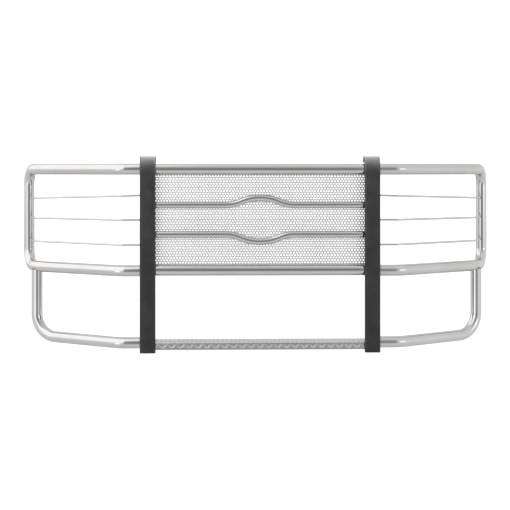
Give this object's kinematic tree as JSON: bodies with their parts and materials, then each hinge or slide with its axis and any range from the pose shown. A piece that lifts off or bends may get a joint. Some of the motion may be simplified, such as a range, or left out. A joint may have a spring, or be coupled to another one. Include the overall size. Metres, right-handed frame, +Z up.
{
  "type": "front grille guard",
  "caption": "Tubular front grille guard with rubber-faced uprights, a punched centre plate, an emblem arch, wrap-round headlight and bumper loops and a tread step.",
  "frame": {"origin": "on the guard's centre plane, midway between the four frame bolts, on the plane where the brackets meet the truck's frame", "axes": "+X to the right as seen from in front of the truck, +Y back towards the truck, +Z up"},
  "size_m": [2.2168, 0.3923, 0.873],
  "materials": {
    "polished_tube": "mirror-polished stainless steel tube",
    "punched_sheet": "polished stainless sheet, punched with staggered round holes",
    "tread_plate": "bright tread plate with raised lugs",
    "rubber_strip": "satin black moulded rubber",
    "coated_steel": "semi-gloss black powder coat",
    "bracket_steel": "semi-gloss black powder coat",
    "zinc_fasteners": "zinc-plated steel"
  },
  "bodies": {
    "root": {"upright_web_left": "coated_steel", "upright_face_left": "coated_steel", "impact_strip_left": "rubber_strip", "headlight_loop_left": "polished_tube", "bumper_loop_left": "polished_tube", "headlight_rod_left_1": "polished_tube", "headlight_rod_left_2": "polished_tube", "headlight_rod_left_3": "polished_tube", "frame_bracket_left": "bracket_steel", "upright_web_right": "coated_steel", "upright_face_right": "coated_steel", "impact_strip_right": "rubber_strip", "headlight_loop_right": "polished_tube", "bumper_loop_right": "polished_tube", "headlight_rod_right_1": "polished_tube", "headlight_rod_right_2": "polished_tube", "headlight_rod_right_3": "polished_tube", "frame_bracket_right": "bracket_steel", "top_crossbar": "polished_tube", "lower_crossbar": "polished_tube", "upper_emblem_bar": "polished_tube", "lower_emblem_bar": "polished_tube", "punch_plate": "punched_sheet", "tread_step": "tread_plate", "bracket_bolts": "zinc_fasteners", "bracket_washers": "zinc_fasteners", "bracket_nuts": "zinc_fasteners", "strip_studs": "zinc_fasteners", "strip_nuts": "zinc_fasteners"}
  },
  "joints": []
}
